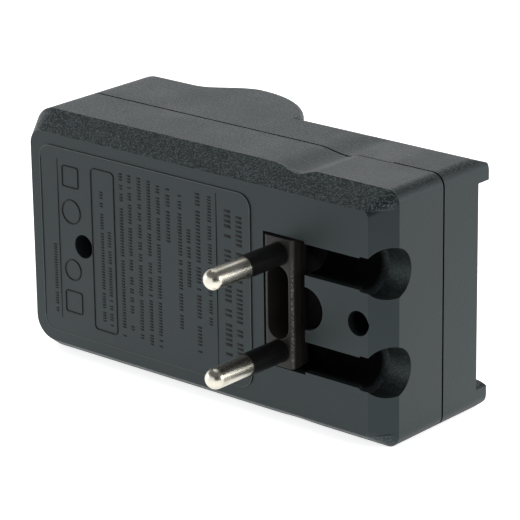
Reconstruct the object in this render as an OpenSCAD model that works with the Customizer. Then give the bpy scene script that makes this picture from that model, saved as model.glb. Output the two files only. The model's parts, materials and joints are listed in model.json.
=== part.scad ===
// Travel battery charger with a fold-out two-pin plug.
// It stands on its long narrow side: X along the length, +Z up, the plug face looks to -Y.

/* [Case] */
// Length of the case
case_l = 91; // [84:1:100]
// Width of the case, its height as it stands
case_w = 49.6; // [46:0.2:54]
// Outer radius of the two corners at the left end
left_r = 5; // [4.2:0.2:8]
// Outer radius of the two corners at the right end
right_r = 2.6; // [2:0.1:4]
// Depth from the plug face to the seam between the two shells
seam_y = 17.8; // [17.2:0.2:19.6]
// Thickness of the outer walls
wall = 2; // [1.6:0.1:2.4]
// How far the slanted border of the plug face goes in from the outline
border_in = 3.2; // [2.4:0.1:3.4]
// How deep the slanted border goes
border_d = 5; // [4:0.2:6]
// Radius of the plug face's upper left corner
face_r_top = 3; // [1:0.2:5]
// Radius of the plug face's lower left corner
face_r_low = 4.6; // [1:0.2:6]
// Radius of the plug face's two right corners
face_r_right = 1.2; // [0.6:0.1:3]
// Width of the shadow line at the seam
seam_gap = 0.4; // [0.2:0.1:0.8]
// Depth of the shadow line at the seam
seam_depth = 0.6; // [0.3:0.1:0.7]

/* [Plug face] */
// Distance of the raised panel from the left end
panel_x = 5.8; // [5:0.2:8]
// Length of the raised panel
panel_l = 54.2; // [48:0.2:55]
// Width of the raised panel
panel_w = 38.2; // [34:0.2:40]
// Corner radius of the raised panel
panel_r = 2.8; // [1.5:0.1:4]
// Height of the raised panel
panel_h = 0.2; // [0.1:0.05:0.4]
// Distance of the left screw from the left end
screw_left_x = 17; // [14:0.2:20]
// Distance of the right screw from the right end
screw_right_in = 5.5; // [5.2:0.1:6.5]
// Diameter of the deep screw recesses
recess_d = 4.8; // [4.6:0.1:5.2]

/* [Plug] */
// Distance of the pin axes from the left end
pin_x = 67.2; // [66.8:0.1:68]
// Distance between the axes of the two parallel pins
pin_span = 19; // [18.6:0.1:19.2]
// Length of the pins, from the holder's face
pin_len = 19.8; // [18.5:0.1:20.2]
// Diameter of the bare part of a pin
pin_d = 4; // [3.8:0.05:4.2]
// Diameter of the insulating sleeve on a pin
sleeve_d = 4.4; // [4.35:0.05:4.6]
// Length of the insulating sleeve in front of the holder
sleeve_len = 9.5; // [8:0.1:11]
// Diameter of the pin inside its sleeve
core_d = 2.8; // [2.4:0.1:3]
// How far the holder's face stands in front of the plug face
holder_proud = 0.5; // [0.3:0.1:0.8]
// Distance of the holder's left side from its pivot
holder_left = 3.3; // [3.1:0.05:3.4]
// Distance of the holder's right side from its pivot
holder_right = 3.7; // [3.5:0.05:4]
// Depth of the pivot behind the plug face
pivot_y = 3.2; // [3:0.1:3.4]
// Distance of the pin axes from the pivot, along the length
pin_off = 0.4; // [0.2:0.1:0.6]
// Length of the holder along its pivot
holder_h = 25.2; // [24.6:0.1:26]
// Length of the oval opening between the pins
oval_h = 14.4; // [12:0.2:14.6]
// Width of the oval opening between the pins
oval_w = 5; // [4:0.1:5.2]
// Diameter of the trunnions
trunnion_d = 2.4; // [2:0.1:3]
// Length of each trunnion
trunnion_l = 1.2; // [0.8:0.1:1.6]
// Clearance around each trunnion
pivot_gap = 0.05; // [0.03:0.01:0.08]
// Gap between the holder and the pocket at the left and at both ends
holder_gap = 0.4; // [0.3:0.05:0.6]
// Gap between the holder and the pocket at the right, which lets it turn
swing_gap = 2.5; // [2.2:0.1:3]
// Width of the storage grooves of the pins
groove_w = 6; // [5.4:0.1:6.6]
// Radius of the finger scoops at the ends of the grooves
scoop_r = 4.9; // [4:0.05:5]
// Length of each finger scoop
scoop_l = 5; // [4:0.2:6]
// Radius of the thumb notch beside the pocket
notch_r = 4.2; // [3.4:0.1:4.6]
// Depth of the thumb notch
notch_d = 4.6; // [3.5:0.1:5.5]

/* [Battery side] */
// Depth of the bay's floor behind the plug face
floor_y = 28.5; // [27.5:0.1:30]
// Depth of the rails' edges behind the plug face
rail_y = 31.7; // [30.8:0.1:33]
// Thickness of each rail
rail_t = 5.2; // [4:0.1:5.6]
// How far the rails' outer sides slope in towards their edges
rail_slope = 1; // [0.4:0.1:1.6]
// Depth over which they slope
rail_slope_l = 3.6; // [2:0.1:5]
// Rounding of the rails' edges
rail_r = 0.5; // [0.3:0.1:0.9]
// How much thinner the rails are at the open end, where the battery goes in
lead_in = 0.8; // [0.3:0.1:1.2]
// Distance of the bay's end wall from the left end
bay_x = 42; // [40:0.5:43.5]
// Distance of the foot of the hump's cheeks from the left end
cheek_x = 46.4; // [45:0.2:50]
// How far the foot of the cheeks lies below the rails' edges
cheek_low = 1; // [0.4:0.1:1.6]
// Fullness of the cheeks: 1 is an ellipse, a higher number is flatter
cheek_power = 1.4; // [0.8:0.05:1.6]
// Depth of the flat deck behind the plug face
deck_y = 35.8; // [34.8:0.1:37]
// Height of the hump above the deck
hump_h = 5.5; // [4:0.1:6.5]
// Rounding of the deck's and the hump's edges
edge_r = 1.8; // [1:0.1:2.2]
// Where the hump starts
hump_x0 = 15.5; // [14:0.5:19]
// Where the hump is highest
hump_x1 = 28.5; // [26:0.5:31]
// Depth of the grip dips in the narrow sides
dip_d = 0.8; // [0.3:0.05:0.9]

/* [Inside] */
// Depth of the circuit board's plug side behind the plug face
board_y = 21; // [20.4:0.1:22]
// Thickness of the circuit board
board_t = 1.6; // [1:0.1:2]
// How far the contact blades stand into the bay
blade_out = 5.5; // [4:0.1:7]
// Distance between neighbouring contact blades
blade_pitch = 9; // [7:0.1:11]
// Thickness of the contact blades
blade_t = 0.8; // [0.5:0.1:1.2]
// Width of the contact blades
blade_w = 2.4; // [1.8:0.1:2.8]
// Diameter of the lamp lens
lens_d = 3; // [2:0.1:4]
// How far the lamp lens stands out of the hump
lens_proud = 0.3; // [0.1:0.1:0.6]

/* [Hidden] */
$fn = 48;

mid_z = case_w / 2;
hump_top = deck_y + hump_h;
pin_reach = pin_len + holder_proud;
// the part's origin lies under the middle of its bounding box
shift = [-case_l / 2, (pin_reach - hump_top - lens_proud) / 2, 0];

pivot_x = pin_x - pin_off;
// depth of the pins when they are folded away
fold_y = pivot_y + pin_off;
pocket_x0 = pivot_x - holder_left - holder_gap;
pocket_x1 = pivot_x + holder_right + swing_gap;
pocket_h = holder_h + 2 * holder_gap;
pocket_d = pivot_y + holder_right + 0.5;
well_wall = 1.5;
well_d = pocket_d + 1.2;
well_h = pocket_h + 2 * trunnion_l + 2 * well_wall;
screw_right_x = case_l - screw_right_in;
boss_r = recess_d / 2 + 1.2;
recess_depth = 13;
fit = 0.1;
// the lip that joins the shells: distance of its outer side from the case's outline
lip_in = wall * 0.65;
cut = 1;
board_x0 = 22;
board_x1 = 58.5;
board_w = case_w - 2 * wall - 5;
board_back = board_y + board_t;
inner_floor = floor_y - wall;

shell_colour = [0.29, 0.31, 0.31];
border_colour = [0.23, 0.25, 0.26];
metal_colour = [0.80, 0.76, 0.70];
brass_colour = [0.80, 0.64, 0.34];
black_colour = [0.07, 0.07, 0.08];

// Shapes that several pieces share

// Rounded outline of the case, seen from the plug face, moved inwards by i.
module outline(i) {
    a = max(left_r - i, 0.5);
    b = max(right_r - i, 0.5);
    h = case_w - 2 * i;
    translate([i + a, i]) square([case_l - 2 * i - a - b, h]);
    translate([i, i + a]) square([a * 2, h - 2 * a]);
    translate([case_l - i - b * 2, i + b]) square([b * 2, h - 2 * b]);
    for (s = [-1, 1]) {
        translate([i + a, mid_z + s * (h / 2 - a)]) circle(a);
        translate([case_l - i - b, mid_z + s * (h / 2 - b)]) circle(b);
    }
}

// The outline moved inwards by i, drawn out from depth y0 to depth y1.
module slab(i, y0, y1) {
    translate([0, y1, 0]) rotate([90, 0, 0]) linear_extrude(y1 - y0) outline(i);
}

// Flat shape in X and Z drawn out from depth y0 to depth y1.
module plate(y0, y1) {
    translate([0, y1, 0]) rotate([90, 0, 0]) linear_extrude(y1 - y0) children();
}

// Round bar along Y.
module bar_y(r, x, z, y0, y1) {
    translate([x, y1, z]) rotate([90, 0, 0]) cylinder(h = y1 - y0, r = r);
}

// Round bar along X.
module bar_x(r, y, z, x0, x1) {
    translate([x0, y, z]) rotate([0, 90, 0]) cylinder(h = x1 - x0, r = r);
}

// Box from one corner to the opposite one.
module block(a, b) {
    translate(a) cube(b - a);
}

// Ring of points at depth y: a rectangle moved inwards by i, with a radius for each corner,
// from the lower left one against the clock as seen from the plug face.
function corner_ring(y, i, r) = [for (k = [0:3], a = [0:5:90]) let(
        cx = k == 0 || k == 3 ? i + r[k] : case_l - i - r[k],
        cz = k < 2 ? i + r[k] : case_w - i - r[k],
        t = 180 + 90 * k + a)
    [cx + r[k] * cos(t), y, cz + r[k] * sin(t)]];

// Outside of the rear shell: the slanted border is lofted from the plug face's outline to the
// case's own outline, and straight sides go on from there to depth y1.
module rear_hull(y1) {
    side = [left_r, right_r, right_r, left_r];
    rings = [corner_ring(0, border_in, [face_r_low, face_r_right, face_r_right, face_r_top]),
        corner_ring(border_d, 0, side), corner_ring(y1, 0, side)];
    n = len(rings[0]);
    polyhedron(points = [for (r = rings, p = r) p], faces = concat(
        [[for (j = [n - 1:-1:0]) j], [for (j = [0:n - 1]) 2 * n + j]],
        [for (i = [0, n], j = [0:n - 1]) [i + j, i + (j + 1) % n, i + n + (j + 1) % n]],
        [for (i = [0, n], j = [0:n - 1]) [i + j, i + n + (j + 1) % n, i + n + j]]));
}

// Cutter for the grip dip in both narrow sides, from depth y0 to depth y1.
// The profile falls and rises as a cosine; on the battery side it ends in a step.
// sink lowers it, which takes the shadow line at the seam along with the dip.
module grip_dips(y0, y1, stepped, sink = 0) {
    x0 = pivot_x - 5.2;
    x1 = pivot_x + 1.6;
    x2 = stepped ? pivot_x + 12.4 : pivot_x + 5.3;
    left = [for (t = [0:0.1:1]) [x0 + (x1 - x0) * t, -dip_d * (1 - cos(180 * t)) / 2]];
    right = stepped ? [[x1 + 3, -dip_d * 0.8], [x2, -dip_d * 0.5], [x2, 0]]
        : [for (t = [0.1:0.1:1]) [x1 + (x2 - x1) * t, -dip_d * (1 + cos(180 * t)) / 2]];
    profile = concat([[x0, cut]], left, right, [[x2, cut]]);
    translate([0, 0, case_w - sink]) plate(y0, y1) polygon(profile);
    translate([0, 0, sink]) mirror([0, 0, 1]) plate(y0, y1) polygon(profile);
}

// Places a child at the upper (s = 1) or lower (s = -1) pin, along its axis:
// the child is drawn along +Z, from the holder's face to the pin's tip.
module at_pin(s) {
    translate([pin_x, -holder_proud, mid_z + s * pin_span / 2])
        rotate([90, 0, 0]) children();
}

// Housing

module rear_body() {
    rear_hull(seam_y);
    plate(-panel_h, border_d / 2) translate([panel_x + panel_r, mid_z - panel_w / 2 + panel_r])
        for (f = [[0, -1, 1, 1], [-1, 0, 1, 1]]) {
            w = panel_l - 2 * panel_r;
            h = panel_w - 2 * panel_r;
            translate([f[0] * panel_r, f[1] * panel_r])
                square([w - 2 * f[0] * panel_r, h - 2 * f[1] * panel_r]);
            for (x = [0, w], z = [0, h]) translate([x, z]) circle(panel_r);
        }
}

// Solid block around the pocket, the grooves and the scoops.
module plug_well() {
    block([pocket_x0 - well_wall, wall, mid_z - well_h / 2],
        [case_l - wall / 2, well_d, mid_z + well_h / 2]);
    for (s = [-1, 1])
        block([case_l - scoop_l - 3, wall, groove_z(s) - scoop_r - well_wall],
            [case_l - wall / 2, fold_y + scoop_r + well_wall, groove_z(s) + scoop_r + well_wall]);
}

function groove_z(s) = mid_z + s * pin_span / 2;

// Storage groove with a round bottom, then a wider round scoop at the open end.
module groove(s) {
    z = groove_z(s);
    block([pocket_x1 - cut, -cut, z - groove_w / 2], [case_l + cut, fold_y, z + groove_w / 2]);
    bar_x(groove_w / 2, fold_y, z, pocket_x1 - cut, case_l + cut);
    bar_x(scoop_r, fold_y, z, case_l - scoop_l, case_l + cut);
    translate([case_l - scoop_l, fold_y, z]) rotate([0, -90, 0])
        cylinder(h = scoop_r - groove_w / 2, r1 = scoop_r, r2 = groove_w / 2);
}

module rear_shell() {
    color(shell_colour) difference() {
        union() {
            difference() {
                rear_body();
                slab(wall * 2, wall + 0.2, border_d + 0.4);
                slab(wall, border_d + 0.4, seam_y + cut);
                slab(lip_in - fit / 2, seam_y - 1.4, seam_y + cut);
            }
            intersection() {
                union() {
                    plug_well();
                    for (x = [screw_left_x, screw_right_x])
                        bar_y(boss_r, x, mid_z, wall, recess_depth + 2);
                    for (s = [-1, 1])
                        bar_y(1.6, board_x0 + 2.5, mid_z + s * (board_w / 2 - 2.5), wall, board_y);
                }
                rear_hull(board_y + cut);
            }
        }
        // pocket of the plug holder, with a slot behind each trunnion
        block([pocket_x0, -cut, mid_z - pocket_h / 2], [pocket_x1, well_d + cut, mid_z + pocket_h / 2]);
        slot_r = trunnion_d / 2 + pivot_gap;
        slot_h = pocket_h + 2 * trunnion_l + 0.2;
        translate([pivot_x, pivot_y, mid_z - slot_h / 2]) cylinder(h = slot_h, r = slot_r);
        block([pivot_x - slot_r, pivot_y, mid_z - slot_h / 2],
            [pivot_x + slot_r, well_d + cut, mid_z + slot_h / 2]);
        groove(1);
        groove(-1);
        bar_y(notch_r, pocket_x1, mid_z, -cut, notch_d);
        for (x = [screw_left_x, screw_right_x]) {
            bar_y(recess_d / 2, x, mid_z, -cut, recess_depth);
            bar_y(1.5, x, mid_z, 0, seam_y);
        }
        grip_dips(-cut, seam_y + cut, false);
    }
}

// Outer line of the battery side's left part: depth of its surface at x.
function surface_y(x) =
    x < edge_r ? deck_y - edge_r + sqrt(edge_r * edge_r - pow(edge_r - x, 2))
    : x < hump_x0 ? deck_y
    : x < hump_x1 ? deck_y + hump_h * (1 - cos(180 * (x - hump_x0) / (hump_x1 - hump_x0))) / 2
    : cheek_y + (hump_top - cheek_y)
        * pow(1 - pow((min(x, cheek_x) - hump_x1) / (cheek_x - hump_x1), 2), cheek_power / 2);

cheek_y = rail_y - cheek_low;

// Half of the case's width at x, which falls round the corners of the left end.
function half_w(x) = x < left_r ? mid_z - left_r + sqrt(left_r * left_r - pow(left_r - x, 2)) : mid_z;

// One section of the skin: flat sides and two rounded edges, from the seam out to depth y.
function section(x, y, h) = concat(
    [[x, seam_y, mid_z - h]],
    [for (a = [-90:10:0]) [x, y - edge_r + edge_r * cos(a), mid_z - h + edge_r + edge_r * sin(a)]],
    [for (a = [0:10:90]) [x, y - edge_r + edge_r * cos(a), mid_z + h - edge_r + edge_r * sin(a)]],
    [[x, seam_y, mid_z + h]]);

// Skin of the deck and the hump, lofted through its sections.
module hump_skin() {
    corner = [for (a = [0:10:80]) left_r * (1 - cos(a))];
    rise = [for (i = [0:1:6]) left_r + (hump_x0 - left_r) * i / 6];
    crest = [for (i = [1:1:12]) hump_x0 + (hump_x1 - hump_x0) * i / 12];
    fall = [for (a = [5:5:90]) hump_x1 + (cheek_x - hump_x1) * sin(a)];
    rings = [for (x = concat(corner, rise, crest, fall)) section(x, surface_y(x), half_w(x))];
    n = len(rings[0]);
    m = len(rings);
    polyhedron(points = [for (r = rings, p = r) p], faces = concat(
        [for (i = [0:m - 2], j = [0:n - 1]) [i * n + j, (i + 1) * n + (j + 1) % n, i * n + (j + 1) % n]],
        [for (i = [0:m - 2], j = [0:n - 1]) [i * n + j, (i + 1) * n + j, (i + 1) * n + (j + 1) % n]],
        [[for (j = [0:n - 1]) j], [for (j = [n - 1:-1:0]) (m - 1) * n + j]]));
}

// Quarter round in depth and height, from angle a0 to a1.
function round_off(y, z, r, a0, a1) = [for (a = [a0:(a1 - a0) / 5:a1]) [y + r * cos(a), z + r * sin(a)]];

// Section of the lower rail: its outer side slopes in towards the edge, which is rounded.
rail_section = concat(
    [[seam_y, 0], [rail_y - rail_slope_l, 0]],
    round_off(rail_y - rail_r, rail_slope + rail_r, rail_r, -75, 0),
    round_off(rail_y - rail_r, rail_t - rail_r, rail_r, 0, 90),
    [[seam_y, rail_t]]);

// The battery bay: floor and two rails, drawn along X, with rounded outer corners.
module bay_body() {
    intersection() {
        difference() {
            translate([bay_x - cut, 0, 0]) rotate([90, 0, 90]) linear_extrude(case_l - bay_x + cut) {
                translate([seam_y, 0]) square([floor_y - seam_y, case_w]);
                polygon(rail_section);
                translate([0, case_w]) mirror([0, 1]) polygon(rail_section);
            }
            // lead-in at the open end
            for (s = [-1, 1]) translate([0, 0, mid_z + s * (mid_z - rail_t)])
                plate(floor_y, rail_y + cut) polygon([[case_l - 2.5 * lead_in, 0], [case_l + cut, 0],
                    [case_l + cut, s * lead_in * 1.4], [case_l, s * lead_in]]);
        }
        slab(0, seam_y, rail_y + cut);
    }
}

module front_shell() {
    color(shell_colour) difference() {
        union() {
            difference() {
                union() {
                    hump_skin();
                    bay_body();
                }
                block([bay_x, floor_y, rail_t], [cheek_x + cut, hump_top + cut, case_w - rail_t]);
                intersection() {
                    slab(wall, seam_y - cut, hump_top);
                    union() {
                        translate([0, 0, wall]) linear_extrude(case_w - 2 * wall) polygon(concat(
                            [[0, 0]],
                            [for (i = [0:1:40]) [wall + (bay_x - 2 * wall) * i / 40,
                                surface_y(wall + (bay_x - 2 * wall) * i / 40) - wall * 1.2]],
                            [[bay_x - wall, 0]]));
                        block([wall, 0, wall], [case_l - wall, inner_floor, case_w - wall]);
                    }
                }
            }
            // lip that enters the rear shell
            difference() {
                slab(lip_in + fit / 2, seam_y - 1.2, seam_y + wall);
                slab(wall, seam_y - cut * 2, seam_y + wall + cut);
            }
            // posts of the two screws and ribs that carry the board
            bar_y(3, screw_left_x, mid_z, recess_depth + 2.2, surface_y(screw_left_x) - 0.5);
            bar_y(3, screw_right_x, mid_z, recess_depth + 2.2, inner_floor + 0.5);
            for (s = [-1, 1]) {
                block([board_x0 + 2, board_back, mid_z + s * (mid_z - 4.5) - 3.5],
                    [board_x0 + 3.2, deck_y, mid_z + s * (mid_z - 4.5) + 3.5]);
                block([board_x1 - 3.2, board_back, mid_z + s * (mid_z - 4.5) - 3.5],
                    [board_x1 - 2, inner_floor + 0.5, mid_z + s * (mid_z - 4.5) + 3.5]);
            }
            bar_y(lens_d / 2 + 1.2, lens_x, lens_z, lens_y0 + 1, surface_y(lens_x) - 1);
        }
        // shadow line at the seam
        difference() {
            slab(-cut, seam_y, seam_y + seam_gap);
            slab(seam_depth, seam_y - cut, seam_y + seam_gap + cut);
        }
        for (x = [screw_left_x, screw_right_x]) bar_y(1.05, x, mid_z, seam_y - 5, floor_y - 3);
        for (i = [-1, 0, 1]) blade_slot(i);
        bar_y(lens_d / 2 + fit / 2, lens_x, lens_z, lens_y0, hump_top + cut);
        grip_dips(seam_y - 2, rail_y + cut, true);
        grip_dips(seam_y, seam_y + seam_gap, false, seam_depth);
    }
}

// Plug

// Section of the holder across its pivot: a round back and a plate with rounded front edges.
module holder_section() {
    r = 0.9;
    front = -pivot_y - holder_proud;
    circle(holder_left);
    translate([-holder_left, front + r]) square([2 * holder_left, -front - r]);
    translate([-holder_left + r, front]) square([holder_left + holder_right - 2 * r, 2 * r]);
    for (x = [-holder_left + r, holder_right - r]) translate([x, front + r]) circle(r);
    translate([0, front + r]) square([holder_right, 1.6]);
}

module plug_holder() {
    color([0.24, 0.235, 0.225]) difference() {
        union() {
            translate([pivot_x, pivot_y, mid_z - holder_h / 2])
                linear_extrude(holder_h) holder_section();
            translate([pivot_x, pivot_y, mid_z - holder_h / 2 - trunnion_l])
                cylinder(h = holder_h + 2 * trunnion_l, d = trunnion_d);
        }
        // oval opening between the pins
        oval_x = pivot_x + (holder_right - holder_left) / 2;
        for (s = [-1, 1]) bar_y(oval_w / 2, oval_x, mid_z + s * (oval_h - oval_w) / 2,
            -holder_proud - cut, pivot_y + holder_right + cut);
        block([oval_x - oval_w / 2, -holder_proud - cut, mid_z - (oval_h - oval_w) / 2],
            [oval_x + oval_w / 2, pivot_y + holder_right + cut, mid_z + (oval_h - oval_w) / 2]);
        for (s = [-1, 1]) at_pin(s) {
            translate([0, 0, -2]) cylinder(h = 2 + cut, d = sleeve_d);
            translate([0, 0, -10]) cylinder(h = 10, d = core_d);
        }
    }
}

module pin(s) {
    color(metal_colour) intersection() {
        at_pin(s) {
            translate([0, 0, -10]) cylinder(h = 10 + sleeve_len + 0.5, d = core_d);
            translate([0, 0, sleeve_len]) cylinder(h = pin_len - sleeve_len - pin_d / 2, d = pin_d);
            translate([0, 0, pin_len - pin_d / 2]) sphere(d = pin_d);
        }
        // the tail follows the round back of the holder
        union() {
            translate([pivot_x, pivot_y, 0]) cylinder(h = case_w, r = holder_left);
            block([pin_x - 4, -pin_reach - cut, 0], [pin_x + 4, pivot_y, case_w]);
        }
    }
}

module pin_upper() { pin(1); }
module pin_lower() { pin(-1); }

module sleeve(s) {
    color(black_colour) at_pin(s) difference() {
        translate([0, 0, -2]) cylinder(h = sleeve_len + 2, d = sleeve_d);
        translate([0, 0, -2 - cut]) cylinder(h = sleeve_len + 2 + 2 * cut, d = core_d);
    }
}

module sleeve_upper() { sleeve(1); }
module sleeve_lower() { sleeve(-1); }

// Inside

leaf_y = pivot_y + holder_left + 0.15;
leaf_t = 0.35;
leg_x = pivot_x - holder_left + 0.3;

// Cover behind the pocket: its fingers close the trunnion slots.
module pocket_cover() {
    g = fit / 2;
    color([0.33, 0.34, 0.34]) difference() {
        union() {
            block([pocket_x0 + g, pocket_d, mid_z - pocket_h / 2 + g],
                [pocket_x1 - g, well_d, mid_z + pocket_h / 2 - g]);
            block([pocket_x0 - 1.2, well_d, mid_z - well_h / 2],
                [pocket_x1 + 1.2, well_d + 1.4, mid_z + well_h / 2]);
            for (s = [-1, 1]) {
                z0 = pocket_h / 2 + g;
                translate([pivot_x, 0, mid_z + s * (z0 + trunnion_l / 2)])
                    translate([-trunnion_d / 2, pivot_y + trunnion_d / 2 + 0.15, -trunnion_l / 2])
                        cube([trunnion_d, well_d - pivot_y - trunnion_d / 2, trunnion_l]);
            }
        }
        for (s = [-1, 1]) block([leg_x - g, pocket_d - cut, contact_z(s) - 1.6 - g],
            [leg_x + leaf_t + g, well_d + 3, contact_z(s) + 1.6 + g]);
    }
}

function contact_z(s) = mid_z + s * pin_span / 2;

// Brass leaf that the pin's tail slides onto, with a leg through the cover.
module plug_contact(s) {
    z = contact_z(s);
    color(brass_colour) {
        block([leg_x, leaf_y, z - 1.6], [pivot_x + 0.9, leaf_y + leaf_t, z + 1.6]);
        block([leg_x, leaf_y, z - 1.6], [leg_x + leaf_t, well_d + 5, z + 1.6]);
    }
}

module plug_contact_upper() { plug_contact(1); }
module plug_contact_lower() { plug_contact(-1); }

// Insulated wires from the plug contacts to the board: a round path through four points.
module wire(points, r) {
    for (i = [0:len(points) - 2]) {
        v = points[i + 1] - points[i];
        translate(points[i]) rotate([0, acos(v[2] / norm(v)), atan2(v[1], v[0])])
            cylinder(h = norm(v), r = r);
        translate(points[i + 1]) sphere(r * 1.05);
    }
}

module lead_wires() {
    r = 0.7;
    color([0.55, 0.12, 0.10]) for (s = [-1, 1]) {
        z = contact_z(s);
        y = well_d + 4;
        wire([[leg_x, y, z], [leg_x - 3, y, z], [board_x1 - 1.5, board_y - 4, z - s * 3],
            [board_x1 - 1.5, board_y - r * 1.05, z - s * 3]], r);
    }
}

// Screw in each recess: pan head with a cross slot, shank into the front shell's post.
module case_screws() {
    color([0.70, 0.71, 0.72]) for (x = [screw_left_x, screw_right_x]) difference() {
        union() {
            bar_y(2.1, x, mid_z, recess_depth - 1.6, recess_depth);
            bar_y(1, x, mid_z, recess_depth - 0.2, recess_depth + 10);
        }
        for (a = [0, 90]) translate([x, recess_depth - 1.6, mid_z]) rotate([0, a, 0])
            cube([2.6, 1.6, 0.6], center = true);
    }
}

module circuit_board() {
    z0 = mid_z - board_w / 2;
    color([0.16, 0.36, 0.24]) block([board_x0, board_y, z0], [board_x1, board_back, z0 + board_w]);
}

core_x = 33.5;
core_z = mid_z + 8.2;

// Two E cores that meet: three legs and two yokes.
module transformer_core() {
    w = 16;
    d = 13;
    t = 5.5;
    leg = 4.2;
    color([0.20, 0.20, 0.22]) translate([core_x, board_y - 1.5 - d, core_z - t / 2]) difference() {
        translate([-w / 2, 0, 0]) cube([w, d, t]);
        for (s = [-1, 1]) translate([s * (w / 4 + leg / 8 - 0.15) - 2.1, 2.4, -cut])
            cube([4.2, d - 4.8, t + 2 * cut]);
    }
}

// Bobbin and winding round the middle leg, with a foot on the board.
module transformer_winding() {
    d = 13;
    x = (16 / 4 + 4.2 / 8 - 0.15) + 2.1 - fit;
    leg = 2 * ((16 / 4 + 4.2 / 8 - 0.15) - 2.1) + fit;
    y0 = board_y - 1.5 - d + 2.4 + fit;
    y1 = board_y - 1.5 - 2.4 - fit;
    color([0.85, 0.68, 0.20]) translate([core_x, 0, core_z]) difference() {
        union() {
            block([-x, y0, -7], [x, y1, 7]);
            for (s = [-1, 1]) block([-x, y0, s * 6.2 - 1.5], [x, board_y, s * 6.2 + 1.5]);
        }
        block([-leg / 2, y0 - cut, -2.75 - fit], [leg / 2, y1 + cut, 2.75 + fit]);
        for (s = [-1, 1]) block([-x - cut, y1, -4.7], [x + cut, board_y + cut, 4.7]);
    }
}

module capacitor(r, l) {
    difference() {
        union() {
            cylinder(h = l, r = r);
            translate([0, 0, l - 1.2]) cylinder(h = 0.4, r = r + 0.15);
        }
        for (a = [0, 90]) translate([0, 0, l]) rotate([0, 0, a])
            cube([r * 1.5, 0.3, 0.5], center = true);
    }
}

module input_capacitor() {
    color([0.10, 0.12, 0.22]) translate([49, board_y - 5.2, mid_z - 16.8]) capacitor(5, 16);
}

module output_capacitor() {
    color([0.10, 0.20, 0.14]) translate([49, board_y, mid_z + 10.2]) rotate([90, 0, 0]) capacitor(4, 12);
}

// Glass tube fuse between two clips, on the board.
module line_fuse() {
    x = 56;
    y = board_y - 2.6;
    color([0.78, 0.79, 0.78]) {
        translate([x, y, mid_z - 4.3]) cylinder(h = 8.5, r = 1.2);
        for (z = [mid_z - 4.3, mid_z + 2.2]) {
            translate([x, y, z]) cylinder(h = 2, r = 1.5);
            block([x - 1.5, y, z], [x + 1.5, board_y, z + 2]);
        }
    }
}

module bridge_rectifier() {
    x = 38;
    z = mid_z - 15.8;
    color(black_colour) {
        block([x, board_y - 4, z], [x + 4.6, board_y - 1, z + 8]);
        for (i = [0:3]) block([x + 2, board_y - 1.2, z + 0.7 + i * 2], [x + 2.6, board_y, z + 1.3 + i * 2]);
    }
}

module switch_transistor() {
    x = 27;
    z = mid_z - 8.8;
    color([0.15, 0.15, 0.16]) difference() {
        union() {
            block([x, board_y - 12, z], [x + 10, board_y - 3, z + 4.4]);
            block([x, board_y - 17, z], [x + 10, board_y - 11.5, z + 1.3]);
            for (i = [0:2]) block([x + 2 + i * 2.54, board_y - 3.2, z + 2], [x + 2.8 + i * 2.54, board_y, z + 2.6]);
        }
        translate([x + 5, board_y - 14.5, z - cut]) cylinder(h = 4, r = 1.6);
    }
}

blade_y = floor_y + 1.4;
blade_x0 = bay_x - 6;

module blade_slot(i) {
    z = mid_z + i * blade_pitch;
    block([bay_x - wall - 2, blade_y - fit, z - blade_t / 2 - fit],
        [bay_x + cut, blade_y + blade_w + fit, z + blade_t / 2 + fit]);
}

// Moulded block on the board that carries the three blades.
module contact_block() {
    g = 0.05;
    color(black_colour) difference() {
        block([bay_x - wall - 5.5, board_back, mid_z - blade_pitch - 4],
            [bay_x - wall - 0.1, blade_y + blade_w + 0.9, mid_z + blade_pitch + 4]);
        for (i = [-1, 0, 1]) {
            z = mid_z + i * blade_pitch;
            block([blade_x0 - g, blade_y - g, z - blade_t / 2 - g],
                [bay_x, blade_y + blade_w + g, z + blade_t / 2 + g]);
            block([blade_x0 - g, board_back - cut, z - blade_t / 2 - g],
                [blade_x0 + 1.2 + g, blade_y + g, z + blade_t / 2 + g]);
        }
    }
}

// Contact blade: it stands into the bay with a bevelled tip, and its tail reaches the board.
module blade(i) {
    color(brass_colour) translate([0, 0, mid_z + i * blade_pitch - blade_t / 2])
        linear_extrude(blade_t) polygon([[blade_x0, board_back], [blade_x0 + 1.2, board_back],
            [blade_x0 + 1.2, blade_y], [bay_x + blade_out - 0.6, blade_y],
            [bay_x + blade_out, blade_y + 0.6], [bay_x + blade_out, blade_y + blade_w - 0.6],
            [bay_x + blade_out - 0.6, blade_y + blade_w], [blade_x0, blade_y + blade_w]]);
}

module contact_positive() { blade(1); }
module contact_sense() { blade(0); }
module contact_negative() { blade(-1); }

lens_x = hump_x1;
lens_z = mid_z + 13;
lens_y0 = board_back + 6;

module status_lamp() {
    color([0.75, 0.80, 0.75]) {
        bar_y(1.5, lens_x, lens_z, board_back, lens_y0 - 2);
        translate([lens_x, lens_y0 - 2, lens_z]) sphere(1.5);
    }
}

// Light pipe from the lamp to a low dome on the hump.
module lamp_lens() {
    color([0.85, 0.88, 0.86]) {
        bar_y(lens_d / 2, lens_x, lens_z, lens_y0, hump_top);
        intersection() {
            translate([lens_x, hump_top + lens_proud - lens_d * 1.1, lens_z]) sphere(lens_d * 1.1);
            bar_y(lens_d / 2, lens_x, lens_z, hump_top - 0.5, hump_top + 2);
        }
    }
}

translate(shift) {
    rear_shell();
    front_shell();
    plug_holder();
    pin_upper();
    pin_lower();
    sleeve_upper();
    sleeve_lower();
    pocket_cover();
    plug_contact_upper();
    plug_contact_lower();
    lead_wires();
    case_screws();
    circuit_board();
    transformer_core();
    transformer_winding();
    input_capacitor();
    output_capacitor();
    line_fuse();
    bridge_rectifier();
    switch_transistor();
    contact_block();
    contact_positive();
    contact_sense();
    contact_negative();
    status_lamp();
    lamp_lens();
}
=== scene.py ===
import json

import bpy
import numpy as np
from mathutils import Matrix, Vector


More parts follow.
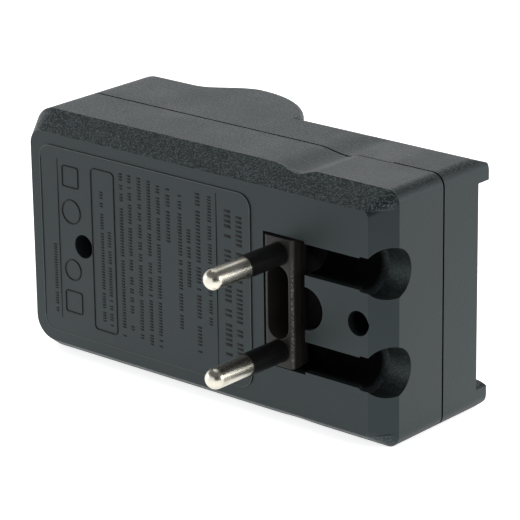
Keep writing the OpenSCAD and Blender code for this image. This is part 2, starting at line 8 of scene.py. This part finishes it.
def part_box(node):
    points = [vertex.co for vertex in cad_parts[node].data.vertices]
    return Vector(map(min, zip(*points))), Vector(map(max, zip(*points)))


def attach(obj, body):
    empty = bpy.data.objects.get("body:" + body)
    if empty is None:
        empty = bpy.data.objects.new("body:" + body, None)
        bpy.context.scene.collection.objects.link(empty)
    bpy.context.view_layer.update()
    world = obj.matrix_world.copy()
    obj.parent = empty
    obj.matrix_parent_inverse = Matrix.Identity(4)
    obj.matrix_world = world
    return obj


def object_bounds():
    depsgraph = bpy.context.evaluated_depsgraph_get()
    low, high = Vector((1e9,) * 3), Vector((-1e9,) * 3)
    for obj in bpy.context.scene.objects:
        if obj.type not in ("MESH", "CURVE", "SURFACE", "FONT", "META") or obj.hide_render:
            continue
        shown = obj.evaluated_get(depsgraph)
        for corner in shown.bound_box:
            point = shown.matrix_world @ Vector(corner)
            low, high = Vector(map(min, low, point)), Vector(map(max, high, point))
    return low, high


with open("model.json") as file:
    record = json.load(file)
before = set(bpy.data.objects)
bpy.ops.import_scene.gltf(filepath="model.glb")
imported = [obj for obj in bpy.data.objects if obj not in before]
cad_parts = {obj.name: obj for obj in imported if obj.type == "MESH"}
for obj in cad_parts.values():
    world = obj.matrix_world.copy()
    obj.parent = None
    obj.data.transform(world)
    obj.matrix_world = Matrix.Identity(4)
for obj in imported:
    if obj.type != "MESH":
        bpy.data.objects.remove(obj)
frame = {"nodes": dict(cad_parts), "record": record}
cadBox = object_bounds()
mm = 0.001
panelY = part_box("rear_shell")[0][1] / mm   # surface of the raised panel, in mm
faceY = panelY + 0.2                       # plug face
print("charger frame loaded with", len(frame["nodes"]), "nodes")

# node helpers


def setSocket(tree, socket, value):
    if isinstance(value, bpy.types.NodeSocket):
        tree.links.new(value, socket)
    else:
        socket.default_value = value


def addNode(tree, kind, inputs=None, **settings):
    made = tree.nodes.new("ShaderNode" + kind)
    for key, value in settings.items():
        setattr(made, key, value)
    for key, value in (inputs or {}).items():
        setSocket(tree, made.inputs[key], value)
    return made


def maths(tree, operation, a, b=0.0):
    return addNode(tree, "Math", {0: a, 1: b}, operation=operation).outputs[0]


def times(tree, first, *others):
    for other in others:
        first = maths(tree, "MULTIPLY", first, other)
    return first


def ramp(tree, value, low, high, start=0.0, end=1.0):
    # straight line from start to end while value goes from low to high, held outside
    return addNode(tree, "MapRange", {0: value, 1: low, 2: high, 3: start, 4: end}).outputs[0]


def change(tree, value, ends, start=0.0, end=1.0, base=0.0):
    # from start to end between two places, which are in mm from base
    return ramp(tree, value, (base + ends[0]) * mm, (base + ends[1]) * mm, start, end)


def window(tree, value, ends, soft, base=0.0):
    # 1 between two places, 0 outside, with soft flanks, all in mm
    low, high = ends
    rise = change(tree, value, (low - soft, low), base=base)
    return times(tree, rise, change(tree, value, (high, high + soft), 1.0, 0.0, base))


def noise(tree, where, scale, detail=2.0, rough=0.5, stretch=None):
    if stretch:
        where = addNode(tree, "Mapping", {"Vector": where, "Scale": stretch}).outputs[0]
    made = addNode(tree, "TexNoise", {"Vector": where, "Scale": scale, "Detail": detail, "Roughness": rough})
    return made.outputs["Fac"]


def mixColour(tree, share, dark, light):
    made = addNode(tree, "Mix", data_type="RGBA")
    setSocket(tree, made.inputs[0], share)
    for number, colour in ((6, dark), (7, light)):
        isSocket = isinstance(colour, bpy.types.NodeSocket)
        setSocket(tree, made.inputs[number], colour if isSocket else (*colour, 1.0))
    return made.outputs[2]


def newMaterial(name):
    made = bpy.data.materials.new(name)
    made.use_nodes = True
    tree = made.node_tree
    tree.nodes.clear()
    shader = addNode(tree, "BsdfPrincipled")
    out = addNode(tree, "OutputMaterial")
    tree.links.new(shader.outputs[0], out.inputs[0])
    where = addNode(tree, "TexCoord").outputs["Object"]
    return made, tree, shader, where


def bumpFrom(tree, shader, height, depth, edge=0.0):
    # height in 0..1 stands depth metres high; edge rounds the piece's sharp edges in the shading
    inputs = {"Height": height, "Distance": depth, "Strength": 1.0}
    if edge:
        inputs["Normal"] = addNode(tree, "Bevel", {"Radius": edge}, samples=6).outputs[0]
    tree.links.new(addNode(tree, "Bump", inputs).outputs[0], shader.inputs["Normal"])


# case plastic

casePlastic = {
    "colour": (0.0085, 0.0105, 0.0112),
    "colourLight": (0.0130, 0.0155, 0.0166),
    "speck": (0.056, 0.074, 0.080),       # bright facets of the coarse grain
    "pit": (0.0020, 0.0022, 0.0025),
    "facetEnds": (0.49, 0.59),            # noise values between which a pit turns into a facet
    "facetShare": 0.85,
    "stepHighlight": (0.10, 0.112, 0.118),     # painted highlight on the wall of the raised panel
    "shadow": (0.001, 0.001, 0.001),      # painted shadow in the line between the shells, painted shade deep in the pocket and grooves
    "shadowTint": (0.05, 0.05, 0.05),
    "grooveShadeShare": 0.97,
    "seamShadowShare": 0.95,
    "mirrorTint": (0.77, 0.96, 0.99),
    "roughness": (0.35, 0.53),
    "fineScale": 2600,
    "fineDepth": 0.00002,
    "sparkScale": 2700,
    "sparkDepth": 0.00028,
    "cloudScale": 90,
    "endGrain": 0.06,                     # share of the coarse grain on the end face
    "scoopGrain": 0.35,                   # and in the finger scoops
    "edge": 0.0001,
}

# places on the case in mm: x from its middle, z from its resting side, y from the plug face
caseZones = {
    "faceTop": (46.3, 46.55),      # z, the smooth plug face ends
    "faceLow": (3.3, 3.05),
    "border": (4.9, 5.3),          # y, the slanted border ends
    "endFace": (44.6, 45.2),       # x, the end face begins, which is smooth too
    "dipEnd": (15.5, 17.0),        # x, past the grip dip the narrow side is smoother
    "narrowSide": (48.0, 48.4),    # z
    "scoops": (10.4, 39.2),        # z, both grooves with their scoops
    "scoopSoft": 0.3,
    "scoopFloor": (14.0, 15.0),    # y
    "groove": (19.0, 39.4),        # x, from the pocket to the scoops
    "grooveSoft": 1.2,
    "grooveShadeDepth": (0.5, 2.0),      # y, the painted shade darkens downwards into them
    "panelStep": (-0.16, -0.04),   # y, wall of the raised panel
    "panelSoft": 0.01,
    "seamStep": (22.9, 33.7),      # x, where the step hides the gap, the shadow line is painted on in front of it
    "seamStepSoft": 0.5,
    "seamSoft": 0.015,
}


def casePlasticMaterial(name, lift, topGrain, seamShadowBand, onlyStep):
    # dark moulded plastic: fine matt grain on the plug face and the end, coarse sparkling grain elsewhere,
    # painted black as shadow in the line between the shells and as shade deep in the pocket and the grooves
    p, zones = casePlastic, caseZones
    made, tree, shader, where = newMaterial(name)
    x, y, z = addNode(tree, "SeparateXYZ", {0: where}).outputs

    behindFace = change(tree, y, zones["border"], base=faceY)
    narrow = maths(tree, "MAXIMUM", change(tree, z, zones["faceTop"]), change(tree, z, zones["faceLow"]))
    coarse = maths(tree, "MAXIMUM", narrow, behindFace)
    calm = times(tree, change(tree, x, zones["dipEnd"]), behindFace, change(tree, z, zones["narrowSide"]))
    inScoop = times(tree, window(tree, z, zones["scoops"], zones["scoopSoft"]),
        change(tree, y, zones["scoopFloor"], 1.0, 0.0, faceY))
    coarse = times(tree, coarse, ramp(tree, calm, 0.0, 1.0, 1.0, topGrain),
        change(tree, x, zones["endFace"], 1.0, p["endGrain"]), ramp(tree, inScoop, 0.0, 1.0, 1.0, p["scoopGrain"]))

    fine = noise(tree, where, p["fineScale"], 3.0, 0.6)
    spark = noise(tree, where, p["sparkScale"], 2.0, 0.6)
    clouds = noise(tree, where, p["cloudScale"], 3.0, 0.55)
    dark, light = ([part * lift for part in p[key]] for key in ("colour", "colourLight"))
    colour = mixColour(tree, ramp(tree, clouds, 0.3, 0.7), dark, light)
    facets = mixColour(tree, ramp(tree, spark, *p["facetEnds"]), p["pit"], p["speck"])
    colour = mixColour(tree, times(tree, coarse, p["facetShare"]), colour, facets)
    # painted highlight on the wall of the raised panel
    step = window(tree, y, zones["panelStep"], zones["panelSoft"], faceY)
    colour = mixColour(tree, step, colour, p["stepHighlight"])

    # painted shade: near black, with little reflection, deep in the pocket and the grooves
    paintedGrooveShade = times(tree, change(tree, y, zones["grooveShadeDepth"], base=faceY),
        window(tree, x, zones["groove"], zones["grooveSoft"]), inScoop)
    # painted shadow: the line between the shells is painted black, on the rear shell only where the step hides it
    line = window(tree, y, seamShadowBand, zones["seamSoft"], faceY)
    if onlyStep:
        line = times(tree, line, window(tree, x, zones["seamStep"], zones["seamStepSoft"]))
    paintedShade = maths(tree, "MAXIMUM", times(tree, paintedGrooveShade, p["grooveShadeShare"]), times(tree, line, p["seamShadowShare"]))
    tree.links.new(mixColour(tree, paintedShade, colour, p["shadow"]), shader.inputs["Base Color"])
    tree.links.new(mixColour(tree, paintedShade, p["mirrorTint"], p["shadowTint"]), shader.inputs["Specular Tint"])

    patchy = maths(tree, "ADD", times(tree, clouds, 0.5), times(tree, fine, 0.5))
    rough = ramp(tree, patchy, 0.25, 0.75, *p["roughness"])
    tree.links.new(maths(tree, "MAXIMUM", rough, paintedShade), shader.inputs["Roughness"])
    height = maths(tree, "ADD", times(tree, fine, p["fineDepth"] / p["sparkDepth"]), times(tree, spark, coarse))
    bumpFrom(tree, shader, height, p["sparkDepth"], p["edge"])
    return made


# the y band, in mm behind the plug face, is painted black as the shadow line between the shells
rearPlastic = casePlasticMaterial("rearShellSparkGrain", 1.0, 0.4, (17.50, 17.77), True)
frontPlastic = casePlasticMaterial("frontShellSparkGrain", 1.05, 0.5, (17.79, 18.25), False)

# plug holder

holderPlastic = {
    "colour": (0.0145, 0.0130, 0.0120),
    "glintColour": (0.16, 0.155, 0.145),
    "edgeX": (24.60, 24.82),   # x, the plate's right edge, painted with a sparkly highlight, in mm
    "edgeY": (0.1, 0.4),       # behind the plug face
    "edgeZ": (14.0, 31.5),
    "edgeSoftX": 0.12,
    "edgeSoftZ": 3.0,
    "roughness": (0.30, 0.46),
    "mirror": 0.3,
    "grainDepth": 0.00003,
    "edge": 0.0002,
}


def holderMaterial():
    # half-matt plastic with a painted sparkly highlight along the plate's right edge
    p = holderPlastic
    made, tree, shader, where = newMaterial("plugHolderEdgeHighlight")
    speck = noise(tree, where, 2600, 3.0, 0.7)
    streaks = noise(tree, where, 700, 3.0, 0.6, (1.0, 1.0, 0.25))
    x, y, z = addNode(tree, "SeparateXYZ", {0: where}).outputs
    paintedEdgeLight = times(tree, window(tree, x, p["edgeX"], p["edgeSoftX"]), change(tree, y, p["edgeY"], 1.0, 0.0, faceY),
        window(tree, z, p["edgeZ"], p["edgeSoftZ"]))
    # painted highlight: pale glints where the noise is high, only along that edge
    edgeGlints = times(tree, ramp(tree, speck, 0.46, 0.60), paintedEdgeLight)
    share = maths(tree, "ADD", edgeGlints, times(tree, streaks, 0.04))
    tree.links.new(mixColour(tree, share, p["colour"], p["glintColour"]), shader.inputs["Base Color"])
    tree.links.new(ramp(tree, streaks, 0.3, 0.7, *p["roughness"]), shader.inputs["Roughness"])
    shader.inputs["Specular IOR Level"].default_value = p["mirror"]
    bumpFrom(tree, shader, maths(tree, "ADD", speck, edgeGlints), p["grainDepth"], p["edge"])
    return made


# pins

pinNickel = {
    "colour": (0.79, 0.76, 0.67),
    "dull": (0.63, 0.60, 0.50),
    "roughness": (0.20, 0.34),
    "markDepth": 0.0000035,
}


def pinMaterial():
    # nickel plate with fine turning marks round the pin and a few handling scratches along it
    p = pinNickel
    made, tree, shader, where = newMaterial("pinNickelPlate")
    shader.inputs["Metallic"].default_value = 1.0
    turned = noise(tree, where, 900, 3.0, 0.6, (0.2, 6.0, 0.2))
    scratched = noise(tree, where, 800, 4.0, 0.7, (5.0, 0.25, 5.0))
    stain = noise(tree, where, 260, 3.0, 0.6)
    colour = mixColour(tree, ramp(tree, stain, 0.42, 0.72), p["colour"], p["dull"])
    tree.links.new(colour, shader.inputs["Base Color"])
    tree.links.new(ramp(tree, scratched, 0.3, 0.75, *p["roughness"]), shader.inputs["Roughness"])
    bumpFrom(tree, shader, maths(tree, "ADD", turned, scratched), p["markDepth"])
    return made


# sleeves and inner pieces


def plainPlastic(name, dark, light, rough, scale=900, depth=0.00002, edge=0.0, metal=0.0, mirror=0.5):
    # moulded or painted finish: cloudy colour, uneven gloss and a fine grain
    made, tree, shader, where = newMaterial(name)
    grain = noise(tree, where, scale, 3.0, 0.6)
    clouds = noise(tree, where, scale * 0.12, 3.0, 0.5)
    both = maths(tree, "ADD", times(tree, grain, 0.45), times(tree, clouds, 0.55))
    tree.links.new(mixColour(tree, ramp(tree, both, 0.3, 0.7), dark, light), shader.inputs["Base Color"])
    tree.links.new(ramp(tree, clouds, 0.3, 0.7, *rough), shader.inputs["Roughness"])
    shader.inputs["Metallic"].default_value = metal
    shader.inputs["Specular IOR Level"].default_value = mirror
    bumpFrom(tree, shader, grain, depth, edge)
    return made


clearGlass = {"clear": 0.85, "bend": 1.5, "swirlScale": 500, "swirlDepth": 0.000008, "lighter": 1.12, "duller": 0.08}


def glassMaterial(name, colour, rough):
    # clear glass or resin with faint swirls in tone and gloss
    p = clearGlass
    made, tree, shader, where = newMaterial(name)
    swirl = noise(tree, where, p["swirlScale"], 2.0, 0.5)
    shader.inputs["Transmission Weight"].default_value = p["clear"]
    shader.inputs["IOR"].default_value = p["bend"]
    light = [min(1.0, part * p["lighter"]) for part in colour]
    tree.links.new(mixColour(tree, swirl, colour, light), shader.inputs["Base Color"])
    tree.links.new(ramp(tree, swirl, 0.3, 0.7, rough, rough + p["duller"]), shader.inputs["Roughness"])
    bumpFrom(tree, shader, swirl, p["swirlDepth"])
    return made


finishes = {
    "rear_shell": rearPlastic,
    "front_shell": frontPlastic,
    "plug_holder": holderMaterial(),
    "pin_metal": pinMaterial(),
    "pin_sleeve": plainPlastic("pinSleeveBlack", (0.004, 0.004, 0.0045), (0.007, 0.007, 0.0075), (0.26, 0.40),
        scale=1400, depth=0.000012, mirror=0.16),
    # pocket cover: black plastic, made near black and almost without gloss as painted shade deep in the pocket
    "pocket_cover": plainPlastic("pocketCoverShadedBlack", (0.002, 0.002, 0.002), (0.005, 0.005, 0.005), (0.5, 0.7),
        mirror=0.1),
    "contact_spring": plainPlastic("leafBrass", (0.62, 0.43, 0.18), (0.74, 0.55, 0.26), (0.22, 0.4),
        scale=1200, depth=0.000006, metal=1.0),
    "wire": plainPlastic("wireRed", (0.30, 0.03, 0.025), (0.42, 0.05, 0.04), (0.3, 0.45), scale=700),
    "screw_steel": plainPlastic("screwZinc", (0.52, 0.53, 0.55), (0.68, 0.69, 0.70), (0.25, 0.42),
        scale=1500, depth=0.00001, edge=0.0001, metal=1.0),
    "board": plainPlastic("boardMask", (0.02, 0.10, 0.045), (0.035, 0.15, 0.07), (0.25, 0.4), scale=600),
    "ferrite": plainPlastic("ferriteGrey", (0.03, 0.03, 0.033), (0.06, 0.06, 0.064), (0.5, 0.75),
        scale=1200, depth=0.00004),
    "winding": plainPlastic("windingTape", (0.55, 0.36, 0.05), (0.70, 0.50, 0.10), (0.25, 0.4), scale=500),
    "capacitor_blue": plainPlastic("capacitorBlue", (0.02, 0.03, 0.10), (0.03, 0.05, 0.15), (0.2, 0.35), scale=500),
    "capacitor_green": plainPlastic("capacitorGreen", (0.015, 0.07, 0.04), (0.025, 0.10, 0.06), (0.2, 0.35),
        scale=500),
    "fuse_glass": glassMaterial("fuseGlass", (0.88, 0.90, 0.88), 0.03),
    "epoxy": plainPlastic("epoxyBlack", (0.015, 0.015, 0.016), (0.025, 0.025, 0.026), (0.5, 0.7),
        scale=1200, depth=0.00003),
    "contact_block": plainPlastic("contactBlockBlack", (0.012, 0.012, 0.013), (0.022, 0.022, 0.023), (0.45, 0.65)),
    "blade_metal": plainPlastic("bladePlated", (0.66, 0.52, 0.27), (0.80, 0.66, 0.38), (0.15, 0.32),
        scale=1400, depth=0.000005, edge=0.0001, metal=1.0),
    "lamp": glassMaterial("lampResin", (0.80, 0.86, 0.80), 0.1),
    "lens": glassMaterial("lensFrosted", (0.82, 0.84, 0.82), 0.22),
}
slotOf = {part["node"]: part["material_slot"] for part in frame["record"]["subparts"]}
for name, piece in frame["nodes"].items():
    finish = finishes[slotOf[name]]
    if not piece.material_slots:
        piece.data.materials.append(finish)
    for slot in piece.material_slots:
        slot.material = finish
print("finishes given to", len(slotOf), "nodes")

# relief on the plug face: rules, a frame and rows of plain bars; all in mm, x from the left end of the case

relief = {
    "leftEnd": cadBox[0][0] / mm,
    "barHeight": 0.10,
    "lineHeight": 0.12,      # of the rules, the frame and the marks
    "ruleWidth": 0.26,
    # the first rule, at 6.0 by the panel's left edge, is a painted shadow line of that edge
    "rules": ((6.0, 8.4, 41.2), (10.5, 8.6, 41.6), (51.75, 8.6, 42.8)),   # x, lower end, upper end
    "frameBox": (19.5, 25.5, 8.4, 41.4),     # left, right, lower and upper side
    "frameRadius": 0.9,
    "frameWidth": 0.3,
    "highlightBox": (5.78, 60.02, 5.68, 43.92),   # the raised panel's own edge, along which a pale band is laid as a painted highlight
    "highlightRadius": 2.8,
    "highlightWidth": 0.20,
    "highlightHeight": 0.05,
    # x, lower end, upper end, width of each row
    "rows": (
        (9.2, 9.4, 25.0, 0.95), (22.1, 10.0, 37.2, 1.0), (24.0, 9.4, 29.4, 1.0),
        (27.4, 8.3, 42.0, 1.05), (29.6, 10.2, 42.0, 1.05), (32.1, 9.0, 42.0, 1.05),
        (34.6, 8.3, 41.9, 1.05), (37.0, 8.3, 42.0, 1.05), (39.5, 30.2, 42.0, 1.15),
        (42.5, 13.0, 41.3, 1.1), (44.7, 22.2, 34.3, 1.05), (47.1, 9.2, 42.0, 1.25),
        (50.0, 15.7, 41.9, 1.05), (54.5, 10.2, 40.3, 1.75), (57.3, 9.5, 39.5, 1.6),
    ),
    "barStep": 0.56,         # from bar to bar, as a share of the row's width
    "barHalf": 0.48,         # half a bar's length, the same way
    "barThick": (0.26, 0.10),   # half a bar's thickness as a share of the step: least, and what the sine adds
    "gapShare": 0.15,        # of the bars are left out
    "sineSteps": ((12.9898, 78.233), (9.31, 41.7)),
    "sineGain": 43758.5453,
    # x, z, half the width, rounding from 0 to 1
    "marks": ((13.9, 38.4, 2.1, 0.22), (13.9, 31.3, 2.4, 1.0), (13.9, 19.3, 2.1, 1.0), (13.9, 12.6, 2.2, 0.22)),
    "markWidth": 0.32,
}


def surfaceMesh(name, points, closed=False):
    # points is an array of patches: patch, row, column, xyz; neighbours in the grid are joined by quads,
    # and closed joins the last column to the first
    index = np.arange(points.size // 3).reshape(points.shape[:3])
    if closed:
        index = np.concatenate([index, index[:, :, :1]], axis=2)
    quads = np.stack([index[:, :-1, :-1], index[:, 1:, :-1], index[:, 1:, 1:], index[:, :-1, 1:]], -1)
    mesh = bpy.data.meshes.new(name)
    mesh.from_pydata(points.reshape(-1, 3).tolist(), [], quads.reshape(-1, 4).tolist())
    mesh.shade_smooth()
    made = bpy.data.objects.new(name, mesh)
    bpy.context.collection.objects.link(made)
    return made


def barPillows(bars, height, steps=5):
    # each bar is a pillow: height falls as (1 - u^6)(1 - v^6) from the middle to its four sides
    bars = np.asarray(bars, float)
    t = np.linspace(-1, 1, steps)
    u, v = np.meshgrid(t, t, indexing="ij")
    rise = (1 - u ** 6) * (1 - v ** 6)
    centreX, centreZ, halfX, halfZ = (bars[:, i, None, None] for i in range(4))
    x = centreX + halfX * u
    z = centreZ + halfZ * v
    y = panelY - height * rise + 0 * x
    return np.stack([x, y, z], -1) * mm


def rowBars(row):
    # fills a row with fine bars of one height in groups of a few; thickness and gaps come from a sine
    # that jumps about, so they repeat on each run
    away, low, high, width = row
    step = width * relief["barStep"]
    k = np.arange(int((high - low) / step))
    thick, gap = (np.mod(np.sin(k * a + away * b) * relief["sineGain"], 1.0) for a, b in relief["sineSteps"])
    x = relief["leftEnd"] + away + 0 * k
    z = high - (k + 0.5) * step
    least, more = relief["barThick"]
    bars = np.stack([x, z, width * relief["barHalf"] + 0 * z, step * (least + more * thick)], -1)
    return bars[gap > relief["gapShare"]]


def closedBand(centreX, centreZ, halfX, halfZ, radius, width, height, turns=64):
    # a flat-topped band that follows a rounded rectangle: angle round it, then across its section
    a = np.linspace(0, 2 * np.pi, turns, endpoint=False)
    side = np.sign(np.cos(a)), np.sign(np.sin(a))
    section = np.array([(-0.5, 0.0), (-0.42, 1.0), (0.42, 1.0), (0.5, 0.0)])
    r = radius + section[:, 0, None] * width
    x = relief["leftEnd"] + centreX + side[0] * (halfX - radius) + r * np.cos(a)
    z = centreZ + side[1] * (halfZ - radius) + r * np.sin(a)
    y = panelY - height * section[:, 1, None] + 0 * x
    return np.stack([x, y, z], -1)[None] * mm


def boxBand(box, radius, width, height):
    left, right, low, high = box
    return closedBand((left + right) / 2, (low + high) / 2, (right - left) / 2, (high - low) / 2, radius, width, height)


def onPanel(piece, finish):
    piece.data.materials.append(finish)
    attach(piece, "case")


# the bars, rules, frame and marks are near black, darker than the panel: painted shade of the small relief
shadedReliefPlastic = plainPlastic("reliefDark", (0.002, 0.0025, 0.003), (0.006, 0.007, 0.008), (0.35, 0.55),
    scale=1500, depth=0.00001, mirror=0.2)
# pale plastic for the band round the panel's edge: a painted highlight
edgeHighlightPlastic = plainPlastic("panelRimHighlight", (0.024, 0.031, 0.034), (0.048, 0.060, 0.065), (0.35, 0.55),
    scale=1500, depth=0.00001)

allBars = np.concatenate([rowBars(row) for row in relief["rows"]])
onPanel(surfaceMesh("panelRowBars", barPillows(allBars, relief["barHeight"])), shadedReliefPlastic)
ruleBars = [(relief["leftEnd"] + x, (low + high) / 2, relief["ruleWidth"] / 2, (high - low) / 2)
    for x, low, high in relief["rules"]]
onPanel(surfaceMesh("panelRules", barPillows(ruleBars, relief["lineHeight"])), shadedReliefPlastic)
frameBand = boxBand(relief["frameBox"], relief["frameRadius"], relief["frameWidth"], relief["lineHeight"])
onPanel(surfaceMesh("panelFrame", frameBand, closed=True), shadedReliefPlastic)
# painted highlight band along the panel's edge
highlightBand = boxBand(relief["highlightBox"], relief["highlightRadius"], relief["highlightWidth"], relief["highlightHeight"])
onPanel(surfaceMesh("panelHighlightBand", highlightBand, closed=True), edgeHighlightPlastic)
for number, (x, z, half, rounding) in enumerate(relief["marks"]):
    band = closedBand(x, z, half, half, half * rounding, relief["markWidth"], relief["lineHeight"])
    onPanel(surfaceMesh("panelMark%d" % number, band, closed=True), shadedReliefPlastic)
print("panel relief:", len(allBars), "bars")

# floor, light and camera

studio = {
    "floorHalf": 6.0,
    "floorColour": (0.88, 0.88, 0.88),
    "floorLift": 0.75,     # only the camera sees it: brings the empty floor to white and leaves the shadow
    "glossLift": 0.31,     # the same for what gloss mirrors
    "nearLift": 0.34,      # added to it beside the object, where its own shadow would dim the mirrored floor
    "nearReach": 0.075,
    "worldLight": 0.80,
    "hazeEnds": (0.34, 0.52),  # sine of the heights between which the mirrored white fades
    "overhead": 0.12,
    "aim": (0, 0, 0.02),
    # place, size, power
    "lamps": {
        "keyTop": ((-0.35, 0.55, 1.1), (0.9, 0.9), 2.0),
        "keyRight": ((1.1, 0.45, 0.30), (0.8, 0.4), 4.0),
        "fillLeft": ((-1.1, -0.6, 0.25), (0.8, 0.4), 2.0),
        "lowBack": ((-0.68, 0.78, 0.38), (0.9, 0.5), 0.4),
    },
    # place, size and grey of the dark card
    "flag": ((0.22, -0.11, 0.075), (0.34, 0.16), 0.02),
}


def flatPiece(name, corners):
    mesh = bpy.data.meshes.new(name)
    mesh.from_pydata(corners, [], [(0, 1, 2, 3)])
    made = bpy.data.objects.new(name, mesh)
    bpy.context.collection.objects.link(made)
    return made


def makeFloor():
    s = studio["floorHalf"]
    floor = flatPiece("floor", [(-s, -s, 0), (s, -s, 0), (s, s, 0), (-s, s, 0)])
    made = bpy.data.materials.new("floorWhite")
    made.use_nodes = True
    tree = made.node_tree
    tree.nodes.clear()
    diffuse = addNode(tree, "BsdfDiffuse", {"Color": (*studio["floorColour"], 1.0)})
    x, y, z = addNode(tree, "SeparateXYZ", {0: addNode(tree, "TexCoord").outputs["Object"]}).outputs
    besideX = maths(tree, "SUBTRACT", maths(tree, "ABSOLUTE", x), cadBox[1][0])
    besideY = maths(tree, "SUBTRACT", maths(tree, "ABSOLUTE", y), cadBox[1][1])
    beside = maths(tree, "MAXIMUM", besideX, besideY)
    far = studio["glossLift"]
    mirrored = ramp(tree, beside, 0.0, studio["nearReach"], far + studio["nearLift"], far)
    rays = addNode(tree, "LightPath")
    seen = maths(tree, "MAXIMUM", rays.outputs["Is Camera Ray"], rays.outputs["Is Transmission Ray"])
    glow = maths(tree, "ADD", times(tree, seen, studio["floorLift"]), times(tree, rays.outputs["Is Glossy Ray"], mirrored))
    lift = addNode(tree, "Emission", {"Color": (1, 1, 1, 1), "Strength": glow})
    both = addNode(tree, "AddShader", {0: diffuse.outputs[0], 1: lift.outputs[0]})
    tree.links.new(both.outputs[0], addNode(tree, "OutputMaterial").inputs[0])
    floor.data.materials.append(made)


def makeWorld():
    # even light on the object; what its gloss mirrors is white up to the horizon's haze and dark overhead
    world = bpy.data.worlds.new("whiteStudio")
    bpy.context.scene.world = world
    world.use_nodes = True
    tree = world.node_tree
    tree.nodes.clear()
    rays = addNode(tree, "LightPath")
    up = addNode(tree, "SeparateXYZ", {0: addNode(tree, "TexCoord").outputs["Generated"]}).outputs[2]
    sky = ramp(tree, up, *studio["hazeEnds"], 1.0, studio["overhead"])
    seen = maths(tree, "MAXIMUM", rays.outputs["Is Camera Ray"], rays.outputs["Is Transmission Ray"])
    mirrored = ramp(tree, rays.outputs["Is Glossy Ray"], 0.0, 1.0, studio["worldLight"], sky)
    strength = ramp(tree, seen, 0.0, 1.0, mirrored, 1.0)
    back = addNode(tree, "Background", {"Color": (1, 1, 1, 1), "Strength": strength})
    tree.links.new(back.outputs[0], addNode(tree, "OutputWorld").inputs[0])


def aimed(place):
    return (Vector(studio["aim"]) - Vector(place)).to_track_quat("-Z", "Y")


def softLamp(name, place, size, power):
    light = bpy.data.lights.new(name, "AREA")
    light.shape = "RECTANGLE"
    light.size, light.size_y = size
    light.energy = power
    lamp = bpy.data.objects.new(name, light)
    lamp.location = place
    lamp.rotation_euler = aimed(place).to_euler()
    bpy.context.collection.objects.link(lamp)


def darkCard(name, place, size, grey):
    # a dark flag that the glossy plastic and the pins mirror, as the photographer's side of the room
    turn = aimed(place).to_matrix()
    a, b = size[0] / 2, size[1] / 2
    corners = [tuple(Vector(place) + turn @ Vector(c)) for c in ((-a, -b, 0), (a, -b, 0), (a, b, 0), (-a, b, 0))]
    card = flatPiece(name, corners)
    made = bpy.data.materials.new(name + "Cloth")
    made.use_nodes = True
    shader = made.node_tree.nodes["Principled BSDF"]
    shader.inputs["Base Color"].default_value = (grey, grey, grey, 1)
    shader.inputs["Roughness"].default_value = 1.0
    card.data.materials.append(made)
    card.visible_camera = False
    card.visible_shadow = False
    card.visible_diffuse = False


makeFloor()
makeWorld()
for name, settings in studio["lamps"].items():
    softLamp(name, *settings)
darkCard("flagRight", *studio["flag"])

photoCamera = {
    "place": (0.3470147, faceY * mm - 0.3800470, 0.2074678),
    "right": (0.7577638, 0.6523986, -0.0130424),
    "up": (-0.2055352, 0.2576047, 0.9441372),
    "back": (0.6193135, -0.7127524, 0.3292944),
    "focus": 2891.86,      # focal length in pixels of a picture 520 wide
    "wide": 520,
    "sensor": 36,
}
camera = bpy.data.cameras.new("photoCamera")
camera.sensor_fit = "HORIZONTAL"
camera.sensor_width = photoCamera["sensor"]
camera.lens = photoCamera["sensor"] * photoCamera["focus"] / photoCamera["wide"]
camera.clip_start, camera.clip_end = 0.01, 50
cameraObject = bpy.data.objects.new("photoCamera", camera)
bpy.context.collection.objects.link(cameraObject)
axes = Matrix([photoCamera[key] for key in ("right", "up", "back")]).transposed().to_4x4()
cameraObject.matrix_world = Matrix.Translation(photoCamera["place"]) @ axes
bpy.context.scene.camera = cameraObject
bpy.context.scene.view_settings.view_transform = "Standard"

print("scene ready")
